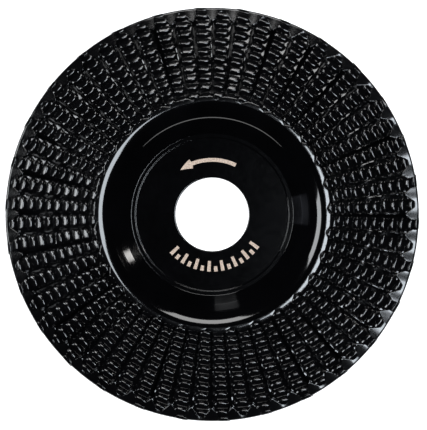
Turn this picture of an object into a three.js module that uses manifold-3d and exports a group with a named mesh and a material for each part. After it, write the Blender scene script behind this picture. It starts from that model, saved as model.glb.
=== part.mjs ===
// Rasp carving disc for a 125 mm angle grinder, teeth up, standing on the back face of its hub.
// Millimetres, +Z along the spindle towards the work, origin at the bore's centre on the hub's back face.
// The disc is a steel pressing, split here at its own features: a dished hub with a sunk clamping seat round
// the bore and a lip round its edge, the sloping band's plate, and the skin that the teeth are raised from.
// The teeth stand in a sunk floor between the lip and the rim, in 60 radial rows. Short rows stop inside the
// rim and long rows run out through it, so a short row and a long row repeat as a pair, on their own sector
// of skin.
import * as THREE from "three";
import { mergeVertices } from "three/addons/utils/BufferGeometryUtils.js";
import Module from "manifold-3d";

const wasm = await Module();
wasm.setup();

// Driving dimensions
const discDiameter = 125;
const boreDiameter = 22.23;
const plateThickness = 2.2;
const rimBevel = 0.5; // on the plate's front edge
const backBevel = 0.3; // on the plate's back edge
const seatDiameter = 46.4; // the sunk face that the clamping nut sits on
const seatRecess = 0.15;
const ledgeWidth = 1.2; // flat ring between the seat's step and the dish
const dishDepth = 5.67; // from the ledge up to the crest of the lip
const dishWallAngle = THREE.MathUtils.degToRad(35);
const dishFootRadius = 0.3; // concave bend where the floor turns up
const lipBendRadius = 7.9; // convex bend over the lip
const bandAngle = THREE.MathUtils.degToRad(11.7); // how far the toothed band slopes back
const skinSetback = 1; // how far inside the lip's crest the toothed skin starts
const lipLand = 1; // smooth skin between its inner edge and the sunk floor
const rimLand = 1.1; // smooth skin between the sunk floor and the rim
const floorDepth = 1.4; // of the sunk floor below the smooth surface
const floorSlopeWidth = 0.6; // of the slopes at the floor's two ends
const skinDepth = 0.25; // of the skin under the sunk floor
const seatGap = 0.05; // clearance round each sector of skin
const rowCount = 60;
const firstRowAngle = THREE.MathUtils.degToRad(2.6); // of the first short row
const toothPitch = 2.73; // along a row
const toothRise = 0.05; // of the teeth above the smooth surface
const toothFootLength = 2.66;
const toothLean = 0.35; // how far a tooth's point leans into the cut, in tooth heights
const toothRake = 0.3; // how far a tooth's point leans towards the bore, in tooth heights
const rowWidthShare = 0.9; // a row's width at the foot over the distance between rows
const latheSegments = 60;
const bendSteps = 4;

// Worked out from the driving dimensions
const pairCount = rowCount / 2;
const rowAngle = (2 * Math.PI) / rowCount;
const pairAngle = (2 * Math.PI) / pairCount;
const rimOuterRadius = discDiameter / 2;
const seatRadius = seatDiameter / 2;
const dishStartRadius = seatRadius + ledgeWidth;
const crestHeight = plateThickness + dishDepth;
// The two bends together may climb no higher than the dish is deep.
const bendClimb = (dishFootRadius + lipBendRadius) * (1 - Math.cos(dishWallAngle));
const bendScale = Math.min(1, dishDepth / bendClimb);
const footRadius = dishFootRadius * bendScale;
const crestRadius = lipBendRadius * bendScale;
const wallLength = (dishDepth - bendClimb * bendScale) / Math.sin(dishWallAngle);
const lipRadius =
  dishStartRadius +
  (footRadius + crestRadius) * Math.sin(dishWallAngle) +
  wallLength * Math.cos(dishWallAngle);
const bandTangentRadius = lipRadius + crestRadius * Math.sin(bandAngle);
const skinInnerRadius = lipRadius - skinSetback;
const floorInnerRadius = skinInnerRadius + lipLand;
const floorOuterRadius = rimOuterRadius - rimLand;
const plateTopDepth = floorDepth + skinDepth + seatGap;
// A short row fills the sunk floor, and a long row goes on out through the rim.
const shortRowTeeth = Math.floor((floorOuterRadius - floorInnerRadius) / toothPitch);
const longRowTeeth = shortRowTeeth + 1;
const firstToothRadius = floorInnerRadius + toothFootLength / 2;
// A polygon's flats lie inside its corners, so the bore's corners stand out by this much to keep it clear.
const boreCornerRadius = boreDiameter / 2 / Math.cos(Math.PI / latheSegments);

// Height at a radius beyond the dish's wall, depth below the front surface: over the lip's bend, then
// down the band's cone
function bandHeight(radius, depth = 0) {
  const bend = crestRadius - depth;
  const bendCentre = crestHeight - crestRadius;
  const coneStart = lipRadius + bend * Math.sin(bandAngle);
  if (radius < coneStart) {
    return bendCentre + Math.sqrt(bend ** 2 - (radius - lipRadius) ** 2);
  }
  return bendCentre + bend * Math.cos(bandAngle) - (radius - coneStart) * Math.tan(bandAngle);
}

// Outline points along the band at a depth, from one radius out to another
function bandLine(inner, outer, depth) {
  const bendStep = (bandTangentRadius - skinInnerRadius) / bendSteps;
  const radii = [inner];
  for (let radius = skinInnerRadius + bendStep; radius < bandTangentRadius + bendStep; radius += bendStep) {
    if (radius > inner && radius < outer) {
      radii.push(radius);
    }
  }
  radii.push(outer);
  return radii.map((radius) => [radius, bandHeight(radius, depth)]);
}

// Outline points of the S-bend from the ledge up to the edge of the hub, at a depth below the front surface
function dishBend(depth, edgeRadius) {
  const points = [];
  for (let i = 0; i <= bendSteps; i++) {
    const slope = (dishWallAngle * i) / bendSteps;
    const radius = footRadius + depth;
    points.push([
      dishStartRadius + radius * Math.sin(slope),
      plateThickness + footRadius - radius * Math.cos(slope),
    ]);
  }
  const edgeSlope = Math.asin((lipRadius - edgeRadius) / (crestRadius - depth));
  for (let i = 0; i <= bendSteps; i++) {
    const slope = dishWallAngle + ((edgeSlope - dishWallAngle) * i) / bendSteps;
    const radius = crestRadius - depth;
    points.push([
      lipRadius - radius * Math.sin(slope),
      crestHeight - crestRadius + radius * Math.cos(slope),
    ]);
  }
  return points;
}

// A solid of revolution about Z from a closed outline of [radius, height] points, listed front face
// outwards first and back face inwards last
function revolve(outline) {
  const points = [...outline, outline[0]].map(([radius, height]) => new THREE.Vector2(radius, height));
  return new THREE.LatheGeometry(points.reverse(), latheSegments).rotateX(Math.PI / 2);
}

// three.js geometry to a manifold solid, and back
function toSolid(geometry) {
  const bare = geometry.clone();
  bare.deleteAttribute("normal");
  bare.deleteAttribute("uv");
  const merged = mergeVertices(bare, 1e-4);
  const mesh = new wasm.Mesh({
    numProp: 3,
    vertProperties: merged.attributes.position.array,
    triVerts: new Uint32Array(merged.index.array),
  });
  return new wasm.Manifold(mesh);
}

function toGeometry(solid) {
  const mesh = solid.getMesh();
  return new THREE.BufferGeometry()
    .setAttribute("position", new THREE.BufferAttribute(mesh.vertProperties, 3))
    .setIndex(new THREE.BufferAttribute(mesh.triVerts, 1));
}

// Hub, clamping seat, dish and the inner half of the lip
function hubDish() {
  const edgeRadius = skinInnerRadius - seatGap;
  const front = [
    [boreCornerRadius, plateThickness - seatRecess],
    [seatRadius, plateThickness - seatRecess],
    [seatRadius, plateThickness],
    ...dishBend(0, edgeRadius),
  ];
  const back = [...dishBend(plateThickness, edgeRadius).reverse(), [boreCornerRadius, 0]];
  return revolve([...front, ...back]);
}

// The plate behind the teeth, from under the lip out to the rim
function bandPlate() {
  const backEdgeRadius = rimOuterRadius - backBevel;
  return revolve([
    ...bandLine(skinInnerRadius, rimOuterRadius, plateTopDepth),
    [rimOuterRadius, bandHeight(backEdgeRadius, plateThickness - backBevel)],
    ...bandLine(skinInnerRadius, backEdgeRadius, plateThickness).reverse(),
  ]);
}

// The skin as a full ring: smooth over the lip, sunk where the teeth stand, and smooth again at the rim
function skinRing() {
  const bevelRadius = rimOuterRadius - rimBevel;
  return revolve([
    ...bandLine(skinInnerRadius, floorInnerRadius, 0),
    ...bandLine(floorInnerRadius + floorSlopeWidth, floorOuterRadius - floorSlopeWidth, floorDepth),
    ...bandLine(floorOuterRadius, bevelRadius, 0),
    [rimOuterRadius, bandHeight(bevelRadius, rimBevel)],
    ...bandLine(skinInnerRadius, rimOuterRadius, floorDepth + skinDepth).reverse(),
  ]);
}

// One sector of skin between two rays, a little narrower than its share of the ring
function skinSector() {
  const reach = discDiameter;
  const halfAngle = pairAngle / 2;
  const wedge = new THREE.Shape([
    new THREE.Vector2(seatGap / Math.sin(halfAngle), 0),
    new THREE.Vector2(reach * Math.cos(halfAngle), -reach * Math.sin(halfAngle)),
    new THREE.Vector2(reach * Math.cos(halfAngle), reach * Math.sin(halfAngle)),
  ]);
  const tall = 2 * crestHeight;
  const prism = new THREE.ExtrudeGeometry(wedge, { depth: tall, bevelEnabled: false });
  prism.translate(0, 0, -tall / 4);
  return toSolid(skinRing()).intersect(toSolid(prism));
}

// A pointed tooth standing in the sunk floor: a four-sided pyramid with its corners along and across the
// row, whose point leans into the cut and towards the bore
function tooth(radius, angle) {
  const width = radius * rowAngle * rowWidthShare;
  const root = skinDepth / 2; // the pyramid starts half-way down the skin, so it grows out of solid metal
  const height = floorDepth + toothRise + root;
  const pyramid = new THREE.ConeGeometry(0.5, 1, 4)
    .translate(0, 0.5, 0)
    .rotateX(Math.PI / 2)
    .scale(toothFootLength, width, height)
    .applyMatrix4(new THREE.Matrix4().makeShear(0, 0, 0, 0, -toothRake, toothLean))
    .translate(0, 0, toothRise - height)
    .rotateY(bandAngle)
    .translate(radius, 0, bandHeight(radius))
    .rotateZ(angle);
  return toSolid(pyramid);
}

// The room that teeth may fill: from the inner edge of the skin to the rim
function toothRoom() {
  const tall = 2 * crestHeight;
  return revolve([
    [skinInnerRadius, tall],
    [rimOuterRadius, tall],
    [rimOuterRadius, -tall],
    [skinInnerRadius, -tall],
  ]);
}

// A short row and a long row on their sector of skin
function toothRowPair() {
  const rows = [
    { angle: -rowAngle / 2, teeth: shortRowTeeth },
    { angle: rowAngle / 2, teeth: longRowTeeth },
  ];
  let solid = skinSector();
  for (const row of rows) {
    for (let i = 0; i < row.teeth; i++) {
      solid = solid.add(tooth(firstToothRadius + i * toothPitch, row.angle));
    }
  }
  return toGeometry(solid.intersect(toSolid(toothRoom())));
}

const blackCoating = new THREE.MeshStandardMaterial({ color: 0x0b0b0d, roughness: 0.25, metalness: 0.6 });
const toothCoating = new THREE.MeshStandardMaterial({ color: 0x101114, roughness: 0.35, metalness: 0.7 });

const disc = new THREE.Group();
disc.rotation.z = firstRowAngle + rowAngle / 2;

const hub = new THREE.Mesh(hubDish(), blackCoating);
hub.name = "hub_dish";
disc.add(hub);

const plate = new THREE.Mesh(bandPlate(), blackCoating.clone());
plate.name = "band_plate";
disc.add(plate);

const pairGeometry = toothRowPair();
for (let i = 0; i < pairCount; i++) {
  const pair = new THREE.Mesh(pairGeometry, toothCoating.clone());
  pair.name = "tooth_row_pair_" + String(i + 1).padStart(2, "0");
  pair.rotation.z = i * pairAngle;
  disc.add(pair);
}

export default disc;
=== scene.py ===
"""Rasp carving disc for an angle grinder, lying teeth up on a plain pale floor."""

from __future__ import annotations

import logging
import math
import random
from contextlib import contextmanager
from dataclasses import dataclass, field
from enum import Enum
from typing import Callable, Iterator, Sequence

import bmesh
import bpy
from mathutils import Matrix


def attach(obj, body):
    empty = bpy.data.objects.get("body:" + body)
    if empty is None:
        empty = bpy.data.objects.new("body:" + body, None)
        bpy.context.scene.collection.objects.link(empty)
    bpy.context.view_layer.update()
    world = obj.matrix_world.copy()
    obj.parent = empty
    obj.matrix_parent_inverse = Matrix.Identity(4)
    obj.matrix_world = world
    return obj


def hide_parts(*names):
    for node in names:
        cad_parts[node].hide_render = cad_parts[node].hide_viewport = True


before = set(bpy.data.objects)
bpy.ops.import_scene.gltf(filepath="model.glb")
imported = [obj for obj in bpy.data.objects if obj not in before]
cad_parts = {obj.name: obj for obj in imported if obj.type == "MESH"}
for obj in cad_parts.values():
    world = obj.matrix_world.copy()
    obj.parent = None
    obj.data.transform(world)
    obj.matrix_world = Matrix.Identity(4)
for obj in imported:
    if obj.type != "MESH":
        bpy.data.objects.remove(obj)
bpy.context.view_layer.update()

log = logging.getLogger("rasp_disc")

Point2 = tuple[float, float]
Point3 = tuple[float, float, float]
Colour = tuple[float, float, float]

METRES_PER_MM = 0.001
SAME_PLACE = 1e-5
NEARBY = 1e-3
TAU = 2 * math.pi


# ---------------------------------------------------------------- bench work


def clear_selection() -> None:
    """Go back to object mode with nothing selected."""
    if bpy.context.mode != "OBJECT":
        bpy.ops.object.mode_set(mode="OBJECT")
    bpy.ops.object.select_all(action="DESELECT")


def take(*objs: bpy.types.Object) -> None:
    """Select some objects and nothing else.

    Args:
        objs: The objects. The first one is made active.
    """
    clear_selection()
    for obj in objs:
        obj.select_set(True)
    bpy.context.view_layer.objects.active = objs[0]


def just_added(name: str) -> bpy.types.Object:
    """Name the object that was just added or joined.

    Args:
        name: Its name, and its mesh's.

    Returns:
        The object.
    """
    obj = bpy.context.active_object
    obj.name = name
    obj.data.name = name
    return obj


@contextmanager
def editing(obj: bpy.types.Object) -> Iterator[None]:
    """Hold an object in edit mode with all of it selected at first.

    Args:
        obj: The object to edit.
    """
    take(obj)
    bpy.ops.object.mode_set(mode="EDIT")
    bpy.ops.mesh.select_mode(type="VERT")
    bpy.ops.mesh.select_all(action="SELECT")
    try:
        yield
    finally:
        bpy.ops.object.mode_set(mode="OBJECT")


def pick_vertices(obj: bpy.types.Object, wanted: Callable[[Point3], bool]) -> None:
    """Select the vertices of an object in edit mode whose place is wanted, and nothing else.

    Args:
        obj: The object in edit mode.
        wanted: Says of a place whether the vertex there is selected.
    """
    vertices = bmesh.from_edit_mesh(obj.data).verts
    pick_indices(obj, [i for i, vertex in enumerate(vertices) if wanted(tuple(vertex.co))])


def pick_indices(obj: bpy.types.Object, indices: Sequence[int]) -> None:
    """Select some vertices of an object in edit mode, and nothing else.

    Args:
        obj: The object in edit mode.
        indices: The vertices' indices.
    """
    bpy.ops.mesh.select_mode(type="VERT")
    bpy.ops.mesh.select_all(action="DESELECT")
    mesh = bmesh.from_edit_mesh(obj.data)
    mesh.verts.ensure_lookup_table()
    for index in indices:
        mesh.verts[index].select_set(True)
    mesh.select_flush(True)
    bmesh.update_edit_mesh(obj.data)


def slide(obj: bpy.types.Object, indices: Sequence[int], step: Point3) -> None:
    """Move some vertices of an object in edit mode.

    Args:
        obj: The object in edit mode.
        indices: The vertices' indices.
        step: How far they move.
    """
    pick_indices(obj, indices)
    bpy.ops.transform.translate(value=step)


def merge_doubles(obj: bpy.types.Object, distance: float = 1e-4) -> None:
    """Merge vertices that share a place, and turn all faces outwards.

    Args:
        obj: The object.
        distance: How near two vertices are when they are merged.
    """
    with editing(obj):
        bpy.ops.mesh.remove_doubles(threshold=distance)
        bpy.ops.mesh.normals_make_consistent(inside=False)


def join(objs: Sequence[bpy.types.Object], name: str) -> bpy.types.Object:
    """Join objects into the first of them.

    Args:
        objs: The objects, each with its own mesh.
        name: The joined object's name.

    Returns:
        The joined object.
    """
    take(*objs)
    if len(objs) > 1:
        bpy.ops.object.join()
    return just_added(name)


def copy_of(obj: bpy.types.Object, name: str) -> bpy.types.Object:
    """Copy an object with its own mesh.

    Args:
        obj: The object.
        name: The copy's name.

    Returns:
        The copy.
    """
    twin = obj.copy()
    twin.data = obj.data.copy()
    twin.name = name
    twin.data.name = name
    bpy.context.scene.collection.objects.link(twin)
    return twin


def apply_place(obj: bpy.types.Object) -> None:
    """Put an object's place, turn and scale into its mesh."""
    take(obj)
    bpy.ops.object.transform_apply(location=True, rotation=True, scale=True)


def shade(obj: bpy.types.Object, angle_deg: float = 30) -> None:
    """Shade an object smooth, with creases at edges sharper than an angle."""
    take(obj)
    bpy.ops.object.shade_smooth_by_angle(angle=math.radians(angle_deg))


def to_metres(obj: bpy.types.Object) -> None:
    """Turn a piece that was modelled in millimetres into metres."""
    obj.scale = (METRES_PER_MM,) * 3
    apply_place(obj)


def spun_solid(name: str, outline: Sequence[Point2], steps: int) -> bpy.types.Object:
    """Draw a closed outline of radii and heights, and spin it all the way round the Z axis.

    Args:
        name: The object's name.
        outline: Points as (radius, height), in order round the section.
        steps: Facets round the axis.

    Returns:
        The closed solid.
    """
    obj = drawn_outline(name, outline)
    with editing(obj):
        bpy.ops.mesh.spin(steps=steps, angle=TAU, center=(0, 0, 0), axis=(0, 0, 1))
    merge_doubles(obj)
    return obj


def drawn_outline(name: str, outline: Sequence[Point2]) -> bpy.types.Object:
    """Draw a closed outline in the XZ plane by extruding one vertex along it.

    Args:
        name: The object's name.
        outline: Points as (radius, height), in order round the section.

    Returns:
        The outline, a loop of edges.
    """
    clear_selection()
    bpy.ops.mesh.primitive_plane_add(size=1)
    obj = just_added(name)
    with editing(obj):
        bpy.ops.mesh.merge(type="CENTER")
        first_radius, first_height = outline[0]
        bpy.ops.transform.translate(value=(first_radius, 0, first_height))
        for (radius, height), (next_radius, next_height) in zip(outline, outline[1:]):
            step = (next_radius - radius, 0, next_height - height)
            bpy.ops.mesh.extrude_region_move(TRANSFORM_OT_translate={"value": step})
        ends = (outline[0], outline[-1])
        pick_vertices(obj, lambda at: any(math.dist((at[0], at[2]), end) < SAME_PLACE for end in ends))
        bpy.ops.mesh.edge_face_add()
    return obj


def swept_arc(
    name: str, outline: Sequence[Point2], start_deg: float, end_deg: float, steps: int
) -> bpy.types.Object:
    """Draw a closed outline of radii and heights, and spin it part of the way round the Z axis.

    Args:
        name: The object's name.
        outline: Points as (radius, height), in order round the section.
        start_deg: Azimuth of one end.
        end_deg: Azimuth of the other end.
        steps: Facets round the axis.

    Returns:
        The closed solid.
    """
    obj = drawn_outline(name, outline)
    with editing(obj):
        # This turn takes a positive angle clockwise, and so does the spin.
        turn, sweep = -math.radians(end_deg), math.radians(end_deg - start_deg)
        bpy.ops.transform.rotate(value=turn, orient_axis="Z", center_override=(0, 0, 0))
        bpy.ops.mesh.spin(steps=steps, angle=sweep, center=(0, 0, 0), axis=(0, 0, 1))
        bpy.ops.mesh.select_mode(type="EDGE")
        bpy.ops.mesh.select_all(action="DESELECT")
        bpy.ops.mesh.select_non_manifold()
        bpy.ops.mesh.edge_face_add()
    merge_doubles(obj)
    return obj


# ---------------------------------------------------------------- sizes


@dataclass(frozen=True)
class DiscSection:
    """The disc's cross section in millimetres and radians, the same as the CAD nodes' section."""

    rim_radius: float = 62.5
    bore_radius: float = 22.23 / 2
    plate: float = 2.2
    seat_radius: float = 23.2
    seat_recess: float = 0.15
    ledge: float = 1.2
    dish_depth: float = 5.67
    wall_angle: float = math.radians(35)
    foot_radius: float = 0.3
    lip_bend: float = 7.9
    band_angle: float = math.radians(11.7)
    skin_setback: float = 1.0
    floor_depth: float = 1.4
    skin: float = 0.25
    seat_gap: float = 0.05

    @property
    def dish_start(self) -> float:
        """Radius where the ledge turns up into the dish."""
        return self.seat_radius + self.ledge

    @property
    def seat_height(self) -> float:
        """Height of the sunk clamping seat."""
        return self.plate - self.seat_recess

    @property
    def crest_height(self) -> float:
        """Height of the lip's crest."""
        return self.plate + self.dish_depth

    @property
    def wall_length(self) -> float:
        """Length of the straight wall between the dish's two bends."""
        climb = (self.foot_radius + self.lip_bend) * (1 - math.cos(self.wall_angle))
        return (self.dish_depth - climb) / math.sin(self.wall_angle)

    @property
    def lip_radius(self) -> float:
        """Radius of the lip's crest."""
        bends = (self.foot_radius + self.lip_bend) * math.sin(self.wall_angle)
        return self.dish_start + bends + self.wall_length * math.cos(self.wall_angle)

    @property
    def tangent_radius(self) -> float:
        """Radius where the lip's bend runs out into the band's cone."""
        return self.lip_radius + self.lip_bend * math.sin(self.band_angle)

    @property
    def skin_inner(self) -> float:
        """Radius where the teeth's skin starts."""
        return self.lip_radius - self.skin_setback

    @property
    def skin_bottom(self) -> float:
        """Depth of the skin's underside."""
        return self.floor_depth + self.skin

    def band_height(self, radius: float, depth: float = 0) -> float:
        """Height of the lip and the band at a radius.

        Args:
            radius: A radius beyond the dish's wall.
            depth: How far below the front surface.

        Returns:
            The height.
        """
        bend = self.lip_bend - depth
        centre = self.crest_height - self.lip_bend
        cone_start = self.lip_radius + bend * math.sin(self.band_angle)
        if radius < cone_start:
            return centre + math.sqrt(bend**2 - (radius - self.lip_radius) ** 2)
        return centre + bend * math.cos(self.band_angle) - (radius - cone_start) * math.tan(self.band_angle)

    def band_line(self, inner: float, outer: float, depth: float, steps: int = 4) -> list[Point2]:
        """Points along the band at a depth, from one radius out to another.

        Args:
            inner: The first radius.
            outer: The last radius.
            depth: How far below the front surface.
            steps: Points over the lip's bend.

        Returns:
            Points as (radius, height), outwards.
        """
        reach = self.tangent_radius - self.skin_inner
        bends = (self.skin_inner + reach * i / steps for i in range(1, steps + 2))
        radii = [inner, *(radius for radius in bends if inner < radius < outer), outer]
        return [(radius, self.band_height(radius, depth)) for radius in radii]

    def dish_bend(self, depth: float, steps: int) -> list[Point2]:
        """Points of the S-bend from the ledge up to the edge of the hub.

        Args:
            depth: How far below the front surface.
            steps: Edges along each bend.

        Returns:
            Points as (radius, height), outwards.
        """
        points = []
        for i in range(steps + 1):
            slope = self.wall_angle * i / steps
            bend = self.foot_radius + depth
            points.append((
                self.dish_start + bend * math.sin(slope),
                self.plate + self.foot_radius - bend * math.cos(slope),
            ))
        bend = self.lip_bend - depth
        edge_slope = math.asin(self.skin_setback / bend)
        for i in range(steps + 1):
            slope = self.wall_angle + (edge_slope - self.wall_angle) * i / steps
            points.append((
                self.lip_radius - bend * math.sin(slope),
                self.crest_height - self.lip_bend + bend * math.cos(slope),
            ))
        return points


def rounded_corner(before: Point2, corner: Point2, after: Point2, size: float, steps: int) -> list[Point2]:
    """Points that round a corner of an outline.

    Args:
        before: The outline's point before the corner.
        corner: The corner.
        after: The outline's point after it.
        size: How far from the corner the rounding starts.
        steps: Edges along the rounding.

    Returns:
        Points from the side of before to the side of after.
    """
    def towards(end: Point2) -> Point2:
        """The point on the way from the corner to an end where the rounding starts."""
        share = size / math.dist(corner, end)
        return tuple(at + (aim - at) * share for at, aim in zip(corner, end))

    start, stop = towards(before), towards(after)
    points = []
    for i in range(steps + 1):
        t = i / steps
        points.append(tuple(
            (1 - t) ** 2 * start[k] + 2 * t * (1 - t) * corner[k] + t**2 * stop[k] for k in (0, 1)
        ))
    return points


# ---------------------------------------------------------------- finishes


class Slot(Enum):
    """The record's material slots."""

    BODY = "body_coating"
    TEETH = "tooth_coating"
    MARK = "etched_mark"


class NodeBoard:
    """Lays out one material's nodes."""

    def __init__(self, name: str) -> None:
        """Start a node material with only its output and a Principled shader.

        Args:
            name: The material's name.
        """
        self.material = bpy.data.materials.new(name)
        self.material.use_nodes = True
        self.nodes = self.material.node_tree.nodes
        self.links = self.material.node_tree.links
        self.shader = self.nodes["Principled BSDF"]
        self.place = self.nodes.new("ShaderNodeTexCoord").outputs["Object"]

    def link(self, source: bpy.types.NodeSocket, target: bpy.types.NodeSocket) -> None:
        """Link one socket to another."""
        self.links.new(source, target)

    def noise(self, scale: float, detail: float) -> bpy.types.NodeSocket:
        """A noise on the piece's own coordinates.

        Args:
            scale: Cells per metre.
            detail: Octaves.

        Returns:
            The noise's value, from 0 to 1.
        """
        noise = self.nodes.new("ShaderNodeTexNoise")
        noise.inputs["Scale"].default_value = scale
        noise.inputs["Detail"].default_value = detail
        self.link(self.place, noise.inputs["Vector"])
        return noise.outputs["Fac"]

    def ramp(
        self, value: bpy.types.NodeSocket, stops: Sequence[tuple[float, Colour]]
    ) -> bpy.types.NodeSocket:
        """A colour ramp over a value.

        Args:
            value: The socket that drives the ramp.
            stops: Pairs of a position and a colour.

        Returns:
            The ramp's colour.
        """
        ramp = self.nodes.new("ShaderNodeValToRGB")
        elements = ramp.color_ramp.elements
        while len(elements) < len(stops):
            elements.new(0.5)
        for element, (position, colour) in zip(elements, stops):
            element.position = position
            element.color = (*colour, 1)
        self.link(value, ramp.inputs["Fac"])
        return ramp.outputs["Color"]

    def spread(self, value: bpy.types.NodeSocket, low: float, high: float) -> bpy.types.NodeSocket:
        """Stretch a value from 0..1 to low..high.

        Args:
            value: The socket to stretch.
            low: What 0 becomes.
            high: What 1 becomes.

        Returns:
            The stretched value.
        """
        node = self.nodes.new("ShaderNodeMapRange")
        node.inputs["To Min"].default_value = low
        node.inputs["To Max"].default_value = high
        self.link(value, node.inputs["Value"])
        return node.outputs["Result"]

    def bump(self, height: bpy.types.NodeSocket, distance: float) -> None:
        """Raise the shader's surface where a height is high.

        Args:
            height: The socket with the height, from 0 to 1.
            distance: How far a height of 1 raises it, in metres.
        """
        node = self.nodes.new("ShaderNodeBump")
        node.inputs["Strength"].default_value = 1
        node.inputs["Distance"].default_value = distance
        self.link(height, node.inputs["Height"])
        self.link(node.outputs["Normal"], self.shader.inputs["Normal"])


@dataclass(frozen=True)
class BlackCoating:
    """Glossy near-black coating on steel, with a fine grain of so many metres."""

    name: str
    dark: Colour
    light: Colour
    roughness: Point2
    grain: float
    specular: float = 0.5
    cloud_cells: float = 90
    smear_cells: float = 700
    grain_cells: float = 2600

    def make(self) -> bpy.types.Material:
        """Build the coating's material.

        Returns:
            The material.
        """
        board = NodeBoard(self.name)
        cloud = board.ramp(board.noise(self.cloud_cells, 4), [(0.3, self.dark), (0.75, self.light)])
        smear = board.spread(board.noise(self.smear_cells, 2), *self.roughness)
        board.link(cloud, board.shader.inputs["Base Color"])
        board.link(smear, board.shader.inputs["Roughness"])
        board.shader.inputs["Specular IOR Level"].default_value = self.specular
        board.bump(board.noise(self.grain_cells, 2), self.grain)
        return board.material


@dataclass(frozen=True)
class EtchedMark:
    """Pale copper-coloured laser marking, with a fine grain of so many metres."""

    name: str = "etched_mark"
    dark: Colour = (0.42, 0.30, 0.23)
    light: Colour = (0.78, 0.62, 0.50)
    roughness: Point2 = (0.45, 0.7)
    grain: float = 4e-6
    cloud_cells: float = 2500
    smear_cells: float = 4000
    grain_cells: float = 6000

    def make(self) -> bpy.types.Material:
        """Build the marking's material.

        Returns:
            The material.
        """
        board = NodeBoard(self.name)
        cloud = board.ramp(board.noise(self.cloud_cells, 3), [(0.3, self.dark), (0.7, self.light)])
        smear = board.spread(board.noise(self.smear_cells, 2), *self.roughness)
        board.link(cloud, board.shader.inputs["Base Color"])
        board.link(smear, board.shader.inputs["Roughness"])
        board.bump(board.noise(self.grain_cells, 2), self.grain)
        return board.material


# ---------------------------------------------------------------- pieces


def hand_over(piece: bpy.types.Object, slot: Slot, *nodes: str) -> None:
    """Tell the frame what a finished piece rides on and stands for.

    Args:
        piece: The finished piece.
        slot: Its material slot; not used.
        nodes: The CAD nodes that it stands for.
    """
    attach(piece, "root")
    if nodes:
        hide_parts(*nodes)
    log.info("%s: %d faces", piece.name, len(piece.data.polygons))


@dataclass
class HubDish:
    """The dished hub: bore, sunk clamping seat, ledge, wall and the inner half of the lip."""

    section: DiscSection
    spin_steps: int = 240
    bend_steps: int = 16
    round_steps: int = 5
    step_facets: int = 8
    sharp_deg: float = 40
    bore_round: float = 0.3
    step_width: float = 0.32
    flat_margin: float = 0.1
    wall_turn_radius: float = 27.1
    wall_turn_rise: float = 0.05
    crease_radius: float = 29.1
    crease_width: float = 0.2
    crease_slope: float = math.radians(50)

    def seat_step(self) -> list[Point2]:
        """Round the step from the sunk seat up to the ledge.

        Returns:
            Points as (radius, height), outwards.
        """
        s = self.section
        return [
            (
                s.seat_radius + self.step_width * (t - 0.5),
                s.seat_height + s.seat_recess * t * t * (3 - 2 * t),
            )
            for t in (i / self.step_facets for i in range(self.step_facets + 1))
        ]

    def wall(self) -> list[Point2]:
        """Draw the wall between its two bends: a hint fuller half-way up, with a faint crease above.

        Returns:
            Points as (radius, height), outwards.
        """
        s = self.section
        foot, lip = s.dish_bend(0, self.bend_steps)[self.bend_steps : self.bend_steps + 2]
        turn, crease, margin = self.wall_turn_radius, self.crease_radius, self.flat_margin

        def straight(radius: float) -> float:
            """Height of the straight wall at a radius."""
            return foot[1] + (radius - foot[0]) * math.tan(s.wall_angle)

        def full(radius: float) -> float:
            """Height of the fuller wall at a radius below the crease."""
            reach = min((radius - foot[0]) / (turn - foot[0]), (crease - radius) / (crease - turn))
            return straight(radius) + self.wall_turn_rise * reach

        radii = (foot[0] + margin, turn - margin, turn, turn + margin, crease - margin, crease)
        top = crease + self.crease_width
        top_height = straight(crease) + self.crease_width * math.tan(self.crease_slope)
        share = margin / (lip[0] - top)
        above = (top + margin, top_height + (lip[1] - top_height) * share)
        return [*((radius, full(radius)) for radius in radii), (top, top_height), above]

    def outline(self) -> list[Point2]:
        """Draw the hub's section, its front face outwards and then its back face inwards.

        Returns:
            Points as (radius, height).
        """
        s = self.section
        bore, top, edge = s.bore_radius, s.seat_height, s.skin_inner
        bend = s.dish_bend(0, self.bend_steps)
        front = [
            *rounded_corner((bore, 0), (bore, top), (s.seat_radius, top), self.bore_round, self.round_steps),
            (bore + self.bore_round + self.flat_margin, top),
            (s.seat_radius - self.step_width / 2 - self.flat_margin, top),
            *self.seat_step(),
            (s.seat_radius + self.step_width / 2 + self.flat_margin, s.plate),
            (s.dish_start - self.flat_margin, s.plate),
            *bend[: self.bend_steps + 1],
            *self.wall(),
            *bend[self.bend_steps + 1 :],
        ]
        back = [
            *reversed(s.dish_bend(s.plate, self.bend_steps)),
            *rounded_corner((edge, 0), (bore, 0), (bore, top), self.bore_round, self.round_steps),
        ]
        return [*front, *back]

    def build(self) -> bpy.types.Object:
        """Spin the hub.

        Returns:
            The finished piece.
        """
        piece = spun_solid("hub_dish_coated", self.outline(), self.spin_steps)
        shade(piece, self.sharp_deg)
        to_metres(piece)
        return piece

    def dress(self, piece: bpy.types.Object, coating: bpy.types.Material) -> None:
        """Give the hub its coating and its place."""
        piece.data.materials.append(coating)
        hand_over(piece, Slot.BODY, "hub_dish")


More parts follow.
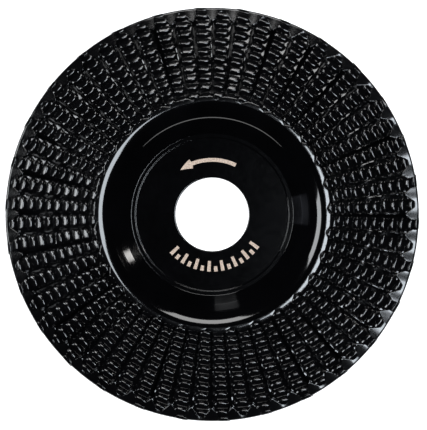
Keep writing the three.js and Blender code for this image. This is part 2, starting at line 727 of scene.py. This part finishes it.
@dataclass
class BandPlate:
    """The sloping plate behind the teeth."""

    section: DiscSection
    spin_steps: int = 360
    round_steps: int = 5
    sharp_deg: float = 40
    edge_round: float = 0.4

    def outline(self) -> list[Point2]:
        """Draw the plate's section under the skin.

        Returns:
            Points as (radius, height), the front outwards and then the back inwards.
        """
        s = self.section
        inner, rim = s.skin_inner, s.rim_radius
        top = s.skin_bottom + s.seat_gap
        front = s.band_line(inner, rim, top)
        back = s.band_line(inner, rim - self.edge_round, s.plate)
        foot = (rim, s.band_height(rim, s.plate))
        corner = rounded_corner(front[-1], foot, back[-1], self.edge_round, self.round_steps)
        return [*front, *corner, *reversed(back[:-1])]

    def build(self) -> bpy.types.Object:
        """Spin the plate.

        Returns:
            The finished piece.
        """
        piece = spun_solid("band_plate_coated", self.outline(), self.spin_steps)
        shade(piece, self.sharp_deg)
        to_metres(piece)
        return piece

    def dress(self, piece: bpy.types.Object, coating: bpy.types.Material) -> None:
        """Give the plate its coating and its place."""
        piece.data.materials.append(coating)
        hand_over(piece, Slot.BODY, "band_plate")


@dataclass
class HubMarks:
    """The pale marks round the bore: a curved arrow for the way of turning, and a row of plain ticks."""

    section: DiscSection
    thickness: float = 0.02
    mark_height: float = 3.2
    arrow_radius: float = 16.5
    arrow_from: float = 64.5
    arrow_to: float = 125.7
    arrow_head_deg: float = 14.0
    shaft_share: float = 0.36
    point_share: float = 0.02
    tick_radius: float = 15.7
    tick_from: float = 222.0
    tick_to: float = 325.5
    tick_deg: float = 3.6
    ticks: int = 15
    short_tick_share: float = 0.5
    tick_steps: int = 3
    sharp_deg: float = 30

    def bar(
        self, radius: float, height: float, start_deg: float, end_deg: float, steps: int
    ) -> bpy.types.Object:
        """Lay one curved bar on the seat.

        Args:
            radius: Its middle radius.
            height: Its width along the radius.
            start_deg: Azimuth of one end.
            end_deg: Azimuth of the other end.
            steps: Facets along it.

        Returns:
            The bar.
        """
        bottom = self.section.seat_height - self.thickness / 2
        top = self.section.seat_height + self.thickness
        inner, outer = radius - height / 2, radius + height / 2
        outline = [(inner, bottom), (inner, top), (outer, top), (outer, bottom)]
        return swept_arc("mark", outline, start_deg, end_deg, steps)

    def arrow(self) -> bpy.types.Object:
        """Draw the arrow: a bar narrowed to a shaft, with its counter-clockwise end drawn to a point.

        Returns:
            The arrow.
        """
        steps = round(self.arrow_to - self.arrow_from)
        arrow = self.bar(self.arrow_radius, self.mark_height, self.arrow_from, self.arrow_to, steps)
        head_from = self.arrow_to - self.arrow_head_deg
        # Vertices on one ray from the disc's axis share their azimuth to two places.
        turns = [
            round(math.degrees(math.atan2(vertex.co.y, vertex.co.x)), 2) for vertex in arrow.data.vertices
        ]
        with editing(arrow):
            for azimuth in sorted(set(turns)):
                share = self.shaft_share
                if azimuth > head_from:
                    reach = (self.arrow_to - azimuth) / self.arrow_head_deg
                    share = self.point_share + (1 - self.point_share) * reach
                pick_indices(arrow, [i for i, turn in enumerate(turns) if turn == azimuth])
                along = math.radians(azimuth)
                middle = (self.arrow_radius * math.cos(along), self.arrow_radius * math.sin(along), 0)
                bpy.ops.transform.resize(value=(share, share, 1), center_override=middle)
        return arrow

    def tick_row(self) -> list[bpy.types.Object]:
        """Draw the ticks, every other one short, evenly from one end of their arc to the other.

        Returns:
            The ticks.
        """
        pitch = (self.tick_to - self.tick_from - self.tick_deg) / (self.ticks - 1)
        ticks = []
        for i in range(self.ticks):
            height = self.mark_height * (self.short_tick_share if i % 2 else 1)
            radius = self.tick_radius + (self.mark_height - height) / 2
            start = self.tick_from + i * pitch
            ticks.append(self.bar(radius, height, start, start + self.tick_deg, self.tick_steps))
        return ticks

    def build(self) -> bpy.types.Object:
        """Draw all the marks as one piece.

        Returns:
            The finished piece.
        """
        piece = join([self.arrow(), *self.tick_row()], "hub_marks")
        shade(piece, self.sharp_deg)
        to_metres(piece)
        return piece

    def dress(self, piece: bpy.types.Object, marking: bpy.types.Material) -> None:
        """Give the marks their material and their place."""
        piece.data.materials.append(marking)
        hand_over(piece, Slot.MARK)


class RowSide(Enum):
    """The side of its pair's middle that a row stands on, seen from above."""

    CLOCKWISE = -1
    COUNTER_CLOCKWISE = 1


@dataclass(frozen=True)
class ToothRow:
    """One radial row of punched teeth."""

    side: RowSide
    teeth: int
    first_crest: float


@dataclass
class ToothRowPair:
    """A short and a long row of punched teeth on their sector of skin.

    Lengths are in millimetres. Names that end in deg or turn hold degrees, and a spread is in millimetres
    per degree. An angle from the pair's middle is positive towards the long row.
    """

    section: DiscSection
    rows: int = 60
    first_row_deg: float = 2.6
    pitch: float = 2.73
    short_row: ToothRow = ToothRow(RowSide.CLOCKWISE, 10, 35.6)
    long_row: ToothRow = ToothRow(RowSide.COUNTER_CLOCKWISE, 10, 35.3)

    # A tooth.
    crest_rise: float = 0.03
    facet_length: float = 1.6
    facet_drop: float = 0.36
    shoulder_drop: float = 0.17
    shoulder_least_drop: float = 0.1
    ledge_run: float = 0.9
    toe_rise: float = 0.14
    toe_run: float = 0.3
    toe_slope: float = 0.55
    root_depth: float = 0.25
    tooth_round: float = 0.2
    tooth_round_steps: int = 2
    usual_width: float = 3.3
    width_at_axis: float = 1.45
    width_growth: float = 0.038
    rim_tooth: float = 61.75
    rim_tooth_turn: float = 0.4
    rim_tooth_share: float = 0.6

    # The pits, and the grooves between rows.
    lip_edge: float = 35.0
    rim_edge: float = 61.0
    pit_floor: float = 1.0
    pit_slope: float = 0.7
    edge_run: float = 0.14
    edge_drop: float = 0.05
    flat_margin: float = 0.12
    chevron_turn: float = 0.6
    chevron_apex: float = 34.25
    chevron_spread: float = 0.38
    chevron_limit: float = 35.35
    rim_point_turn: float = 0.3
    rim_point: float = 58.5
    rim_point_spread: float = 1.35
    rim_point_limit: float = 61.6
    groove_drop: float = 0.6
    groove_shoulder: float = 0.3
    standing_turn: float = 0.5
    standing_from: float = 48.0
    standing_rise: float = 0.8
    floor_unevenness: float = 0.1
    floor_seed: int = 3

    # The rim.
    rim_notch: float = 0.8
    rim_notch_turn: float = 0.5
    rim_notch_half_deg: float = 1.1
    rim_round: float = 0.45
    rim_round_steps: int = 4
    rim_lift: float = 0.14

    # How much the teeth vary.
    variants: int = 3
    width_jitter: float = 0.05
    tilt_jitter_deg: float = 2.5
    turn_jitter_deg: float = 3
    place_jitter: float = 0.06
    draws: random.Random = field(default_factory=lambda: random.Random(5))

    steps_per_degree: int = 2
    sharp_deg: float = 38

    @property
    def row_deg(self) -> float:
        """Degrees between neighbouring rows."""
        return 360 / self.rows

    def tooth_width(self, radius: float) -> float:
        """Width of a tooth across its row, at a radius."""
        return self.width_at_axis + self.width_growth * radius

    def barb(self) -> bpy.types.Object:
        """Model one tooth of the usual width along Y, facing the axis, with the band's surface at Z = 0.

        Seen from above it is a tongue. Its front stands at X = 0, turns back tightly at the cutting end
        (+Y) and runs back in a long curve at the other. Under its crest it has a soft shoulder, and its
        foot runs out below the pit's floor. Y is in shares of the tooth's width until it is all drawn.

        Returns:
            The tooth.
        """
        length, rise, run = self.facet_length, self.crest_rise, self.ledge_run
        crest = (
            (length, 0.46, rise - self.facet_drop + 0.04),
            (0.34, 0.50, rise - 0.02),
            (0.05, 0.34, rise + 0.05),
            (0.00, -0.02, rise + 0.02),
            (0.16, -0.24, rise - 0.08),
            (0.52, -0.35, rise - 0.20),
            (0.98, -0.36, rise - 0.28),
            (1.42, -0.18, rise - 0.34),
        )
        shoulder = (
            (length + 0.05, 0.54),
            (0.26, 0.60),
            (-0.20, 0.44),
            (-0.30, -0.06),
            (-0.12, -0.34),
            (0.40, -0.48),
            (1.04, -0.50),
            (1.54, -0.26),
        )
        foot = (
            (length + 0.10, 0.60),
            (-run * 0.4, 0.64),
            (-run, 0.48),
            (-run, -0.10),
            (-run * 0.7, -0.48),
            (0.10, -0.63),
            (1.10, -0.64),
            (1.66, -0.34),
        )
        toe = tuple((x - (self.toe_run if x < 0 else 0), y) for x, y in foot)
        shoulder_height = rise - self.shoulder_drop
        foot_height = self.toe_rise - self.pit_floor
        root = foot_height - self.toe_run * self.toe_slope - self.root_depth
        rings = (
            [(*corner, root) for corner in toe],
            [(*corner, foot_height) for corner in foot],
            [
                (x, y, min(shoulder_height, top[2] - self.shoulder_least_drop))
                for (x, y), top in zip(shoulder, crest)
            ],
            crest,
        )
        # A cylinder is cut until it has all these rings, 1 mm apart, and each vertex goes to its place.
        clear_selection()
        depth = len(rings) - 1
        bpy.ops.mesh.primitive_cylinder_add(vertices=len(crest), radius=1, depth=depth)
        barb = just_added("barb")
        with editing(barb):
            for level in range(1, depth):
                bpy.ops.mesh.select_all(action="SELECT")
                bpy.ops.mesh.bisect(plane_co=(0, 0, level - depth / 2), plane_no=(0, 0, 1))
            places = [tuple(vertex.co) for vertex in bmesh.from_edit_mesh(barb.data).verts]
            for index, place in enumerate(places):
                ring = rings[round(place[2] + depth / 2)]
                corner = round(math.atan2(place[0], place[1]) / TAU * len(crest)) % len(crest)
                slide(barb, [index], tuple(ring[corner][k] - place[k] for k in range(3)))
        with editing(barb):
            bpy.ops.mesh.normals_make_consistent(inside=False)
            bpy.ops.transform.resize(value=(1, self.usual_width, 1), center_override=(0, 0, 0))
            corners = [(x, y * self.usual_width, z) for x, y, z in crest]
            pick_vertices(barb, lambda at: any(math.dist(at, corner) < NEARBY for corner in corners))
            bpy.ops.mesh.bevel(offset=self.tooth_round, segments=self.tooth_round_steps, affect="EDGES")
        return barb

    def floor_start(self, degrees: float) -> float:
        """Radius where the pits start, at an angle from the pair's middle: a chevron at the short row."""
        off_apex = abs(degrees + self.row_deg / 2 - self.chevron_turn)
        return min(self.chevron_limit, self.chevron_apex + self.chevron_spread * off_apex)

    def floor_end(self, degrees: float) -> float:
        """Radius where the pits end: smooth points of the rim reach in between the rows."""
        off_point = abs(self.off_groove(degrees - self.rim_point_turn))
        return min(self.rim_point_limit, self.rim_point + self.rim_point_spread * off_point)

    def breaks_rim(self, degrees: float) -> bool:
        """Whether the long row's pits run out through the rim at this angle."""
        return abs(degrees - self.row_deg / 2 - self.rim_notch_turn) < self.rim_notch_half_deg

    def off_groove(self, degrees: float) -> float:
        """Degrees from the nearest groove between two rows, positive counter-clockwise."""
        return (degrees + self.row_deg / 2) % self.row_deg - self.row_deg / 2

    def rim_corner(self) -> list[Point2]:
        """Round the skin's edge at the rim.

        Returns:
            Points as (radius, height), from the front down.
        """
        s = self.section
        rim, flat_end = s.rim_radius, s.rim_radius - self.rim_round - self.flat_margin
        start = (flat_end, s.band_height(flat_end) + self.rim_lift)
        corner = (rim, s.band_height(rim) + self.rim_lift)
        foot = (rim, s.band_height(rim, s.skin_bottom))
        return [start, *rounded_corner(start, corner, foot, self.rim_round, self.rim_round_steps)]

    def skin_sector(self) -> bpy.types.Object:
        """Spin one sector of skin, sink its pits and shape their ends.

        Returns:
            The sector, centred on the X axis.
        """
        s = self.section
        floor_inner, floor_outer = self.lip_edge + self.pit_slope, self.rim_edge - self.pit_slope
        floor_steps = 2 * self.short_row.teeth - 1
        floor_radii = (
            floor_inner + (floor_outer - floor_inner) * i / floor_steps for i in range(floor_steps + 1)
        )
        rings = [
            (self.lip_edge, 0),
            (self.lip_edge + self.edge_run, self.edge_drop),
            *((radius, self.pit_floor) for radius in floor_radii),
            (self.rim_edge - self.edge_run, self.edge_drop),
            (self.rim_edge, 0),
            (self.rim_edge + self.flat_margin, 0),
        ]
        surface = [(radius, s.band_height(radius, depth)) for radius, depth in rings]
        surface += self.rim_corner()
        outline = [
            (s.skin_inner, s.band_height(s.skin_inner)),
            *surface,
            *reversed(s.band_line(s.skin_inner, s.rim_radius, s.skin_bottom)),
        ]
        steps = round(2 * self.row_deg * self.steps_per_degree)
        sector = swept_arc("skin", outline, -self.row_deg, self.row_deg, steps)
        self.shape_pits(sector, rings, surface)
        return sector

    def shape_pits(
        self, sector: bpy.types.Object, rings: Sequence[Point2], surface: Sequence[Point2]
    ) -> None:
        """Move the sector's rings ray by ray, to the ends of the pits and the bottoms of the grooves.

        Args:
            sector: The spun sector.
            rings: Radius and depth of each ring of the pits, outwards.
            surface: Radius and height of those rings and then of the rim's.
        """
        s = self.section
        table: dict[tuple[int, float], int] = {}
        for vertex in sector.data.vertices:
            radius = math.hypot(vertex.co.x, vertex.co.y)
            degrees = math.degrees(math.atan2(vertex.co.y, vertex.co.x))
            ray = round(degrees * self.steps_per_degree) / self.steps_per_degree
            for ring, place in enumerate(surface):
                if math.dist((radius, vertex.co.z), place) < NEARBY:
                    table[ring, ray] = vertex.index
        rays = sorted({ray for _, ray in table})
        last = len(rings) - 1
        floor = range(2, last - 2)
        inner_end, outer_end = (0, 1, 2), (last - 3, last - 2, last - 1, last)
        with editing(sector):
            for ray in rays:
                along = (math.cos(math.radians(ray)), math.sin(math.radians(ray)))
                inner_shift = self.floor_start(ray) - rings[0][0]
                outer_shift = self.floor_end(ray) - rings[last][0]
                for ring in (*inner_end, *outer_end):
                    shift = inner_shift if ring in inner_end else outer_shift
                    radius, depth = rings[ring]
                    sink = s.band_height(radius + shift, depth) - s.band_height(radius, depth)
                    slide(sector, [table[ring, ray]], (shift * along[0], shift * along[1], sink))
                if self.breaks_rim(ray):
                    rim = [table[ring, ray] for ring in range(last - 2, len(surface)) if (ring, ray) in table]
                    slide(sector, rim, (0, 0, -self.rim_notch))
            for reach, drop in ((0, self.groove_drop), (1 / self.steps_per_degree, self.groove_shoulder)):
                sunk = [ray for ray in rays if abs(self.off_groove(ray)) == reach]
                slide(sector, [table[ring, ray] for ring in floor for ray in sunk], (0, 0, -drop))
            # Points of skin are left standing between the pits where the rows spread apart.
            left_standing = [
                table[ring, ray]
                for ring in floor[::2]
                for ray in (self.standing_turn, self.standing_turn - self.row_deg)
                if rings[ring][0] > self.standing_from
            ]
            slide(sector, left_standing, (0, 0, self.standing_rise))
            # The floor between the sector's two sides is uneven.
            inner_rays = [ray for ray in rays if abs(ray) < self.row_deg]
            pick_indices(sector, [table[ring, ray] for ring in floor for ray in inner_rays])
            bpy.ops.transform.vertex_random(
                offset=self.floor_unevenness, uniform=1, normal=0, seed=self.floor_seed
            )

    def jitter(self, reach: float) -> float:
        """Draw a number from -reach to reach."""
        return self.draws.uniform(-reach, reach)

    def set_tooth(
        self, barb: bpy.types.Object, radius: float, degrees: float, share: float = 1
    ) -> bpy.types.Object:
        """Copy the tooth to a place on the band, a little out of true as a punched one is.

        Args:
            barb: The tooth's pattern.
            radius: Where its crest stands.
            degrees: Angle of its row from the pair's middle.
            share: Its length along the row over the pattern's.

        Returns:
            The copy.
        """
        tooth = copy_of(barb, "tooth")
        widening = self.tooth_width(radius) / self.usual_width
        tooth.scale = (share, widening * (1 + self.jitter(self.width_jitter)), 1)
        apply_place(tooth)
        tooth.rotation_euler = (
            math.radians(self.jitter(self.tilt_jitter_deg)),
            self.section.band_angle + math.radians(self.jitter(self.tilt_jitter_deg)),
            math.radians(self.jitter(self.turn_jitter_deg)),
        )
        tooth.location = (radius + self.jitter(self.place_jitter), 0, self.section.band_height(radius))
        apply_place(tooth)
        tooth.rotation_euler = (0, 0, math.radians(degrees))
        apply_place(tooth)
        return tooth

    def build(self) -> list[bpy.types.Object]:
        """Model one pair per variant, and copy them round the disc.

        Returns:
            The finished pieces, counter-clockwise from the first row.
        """
        barb = self.barb()
        skin = self.skin_sector()
        originals = []
        for _ in range(self.variants):
            parts = [copy_of(skin, "skin_copy")]
            for row in (self.short_row, self.long_row):
                for i in range(row.teeth):
                    radius = row.first_crest + i * self.pitch
                    parts.append(self.set_tooth(barb, radius, row.side.value * self.row_deg / 2))
            rim_tooth_deg = self.row_deg / 2 + self.rim_tooth_turn
            parts.append(self.set_tooth(barb, self.rim_tooth, rim_tooth_deg, self.rim_tooth_share))
            originals.append(join(parts, "pair"))
        bpy.data.objects.remove(barb)
        bpy.data.objects.remove(skin)
        pieces = []
        for i in range(self.rows // 2):
            piece = copy_of(originals[i % self.variants], f"tooth_row_pair_{i + 1:02d}_punched")
            middle = self.first_row_deg + self.row_deg / 2
            piece.rotation_euler = (0, 0, math.radians(middle + 2 * i * self.row_deg))
            apply_place(piece)
            to_metres(piece)
            shade(piece, self.sharp_deg)
            pieces.append(piece)
        for original in originals:
            bpy.data.objects.remove(original)
        return pieces

    def dress(self, pieces: Sequence[bpy.types.Object], coating: bpy.types.Material) -> None:
        """Give every pair its coating and its place.

        Args:
            pieces: The finished pieces.
            coating: What they wear.
        """
        for i, piece in enumerate(pieces):
            piece.data.materials.append(coating)
            hand_over(piece, Slot.TEETH, f"tooth_row_pair_{i + 1:02d}")


# ---------------------------------------------------------------- studio


class LightShape(Enum):
    """The outlines that a light can have."""

    RECTANGLE = "RECTANGLE"
    ELLIPSE = "ELLIPSE"


@dataclass(frozen=True)
class Softbox:
    """A studio light aimed at the disc, with its place in degrees and its sizes in metres."""

    name: str
    azimuth: float
    off_axis: float
    distance: float
    width: float
    height: float
    watts: float
    colour: Colour = (1, 1, 1)
    shape: LightShape = LightShape.RECTANGLE

    def hang(self) -> None:
        """Hang the light."""
        data = bpy.data.lights.new(self.name, "AREA")
        data.shape = self.shape.value
        data.size, data.size_y = self.width, self.height
        data.energy = self.watts
        data.color = self.colour
        light = bpy.data.objects.new(self.name, data)
        bpy.context.scene.collection.objects.link(light)
        azimuth, tilt = math.radians(self.azimuth), math.radians(self.off_axis)
        light.location = (
            self.distance * math.sin(tilt) * math.cos(azimuth),
            self.distance * math.sin(tilt) * math.sin(azimuth),
            self.distance * math.cos(tilt),
        )
        light.rotation_euler = (0, tilt, azimuth)


@dataclass
class Studio:
    """The pale floor, the lights and the camera, in metres but for the lens and its sensor."""

    camera_height: float = 0.8
    camera_place: Point2 = (0.00039, -0.00018)
    lens: float = 221
    sensor: float = 36
    floor_size: float = 8
    floor_gap: float = 0.00005
    floor_dark: Colour = (0.9, 0.9, 0.9)
    floor_light: Colour = (0.93, 0.93, 0.93)
    floor_cells: float = 3
    floor_roughness: float = 0.9
    floor_glow: float = 0.8
    room_grey: Colour = (0.004, 0.004, 0.0045)
    softboxes: Sequence[Softbox] = (
        Softbox("right_softbox", -10, 15.5, 1.2, 0.43, 0.43, 8.0, (0.86, 0.93, 1.0)),
        Softbox("left_softbox", 172, 40, 1.2, 0.38, 0.49, 5.5, (0.93, 0.97, 1.0)),
        Softbox("top_softbox", 87, 37.5, 1.2, 0.36, 0.56, 4.7),
        Softbox("near_card", 270, 84, 1.0, 0.25, 2.0, 4.3),
        Softbox("lamp", 26.6, 66.2, 1.2, 0.06, 0.16, 0.4, (1.0, 0.98, 0.95), LightShape.ELLIPSE),
        Softbox("left_window", 183, 67, 1.2, 0.07, 0.36, 0.05, (0.8, 0.85, 1.0)),
        Softbox("top_window", 99, 67, 1.2, 0.07, 0.28, 0.06, (0.95, 0.97, 1.0)),
    )

    def floor(self) -> None:
        """Lay the floor."""
        clear_selection()
        bpy.ops.mesh.primitive_plane_add(size=self.floor_size, location=(0, 0, -self.floor_gap))
        floor = just_added("floor")
        board = NodeBoard("floor_paper")
        cloud = board.noise(self.floor_cells, 2)
        paper = board.ramp(cloud, [(0.3, self.floor_dark), (0.7, self.floor_light)])
        board.link(paper, board.shader.inputs["Base Color"])
        board.shader.inputs["Roughness"].default_value = self.floor_roughness
        board.shader.inputs["Emission Color"].default_value = (1, 1, 1, 1)
        board.shader.inputs["Emission Strength"].default_value = self.floor_glow
        floor.data.materials.append(board.material)

    def camera(self) -> None:
        """Hang the camera above the bore, looking straight down with +Y up."""
        data = bpy.data.cameras.new("camera")
        data.lens = self.lens
        data.sensor_width = self.sensor
        camera = bpy.data.objects.new("camera", data)
        camera.location = (*self.camera_place, self.camera_height)
        bpy.context.scene.collection.objects.link(camera)
        bpy.context.scene.camera = camera

    def world(self) -> None:
        """Fill the room with a faint grey light."""
        world = bpy.data.worlds.new("room")
        world.use_nodes = True
        world.node_tree.nodes["Background"].inputs["Color"].default_value = (*self.room_grey, 1)
        bpy.context.scene.world = world
        bpy.context.scene.view_settings.view_transform = "Standard"

    def set_up(self) -> None:
        """Set up the whole studio."""
        self.camera()
        self.floor()
        self.world()
        for softbox in self.softboxes:
            softbox.hang()


def main() -> None:
    """Build the disc and the studio round it."""
    logging.basicConfig(level=logging.INFO, format="%(name)s %(message)s")
    Studio().set_up()
    section = DiscSection()
    body_coating = BlackCoating(
        "gloss_black_body",
        dark=(0.0008, 0.0008, 0.001),
        light=(0.0016, 0.0016, 0.002),
        roughness=(0.05, 0.09),
        grain=0.15e-6,
    ).make()
    tooth_coating = BlackCoating(
        "gloss_black_teeth",
        dark=(0.0012, 0.0012, 0.0015),
        light=(0.003, 0.003, 0.0035),
        roughness=(0.09, 0.15),
        grain=0.5e-6,
        specular=0.65,
    ).make()
    hub = HubDish(section)
    hub.dress(hub.build(), body_coating)
    marks = HubMarks(section)
    marks.dress(marks.build(), EtchedMark().make())
    plate = BandPlate(section)
    plate.dress(plate.build(), body_coating)
    pairs = ToothRowPair(section)
    pairs.dress(pairs.build(), tooth_coating)


if __name__ == "__main__":
    main()
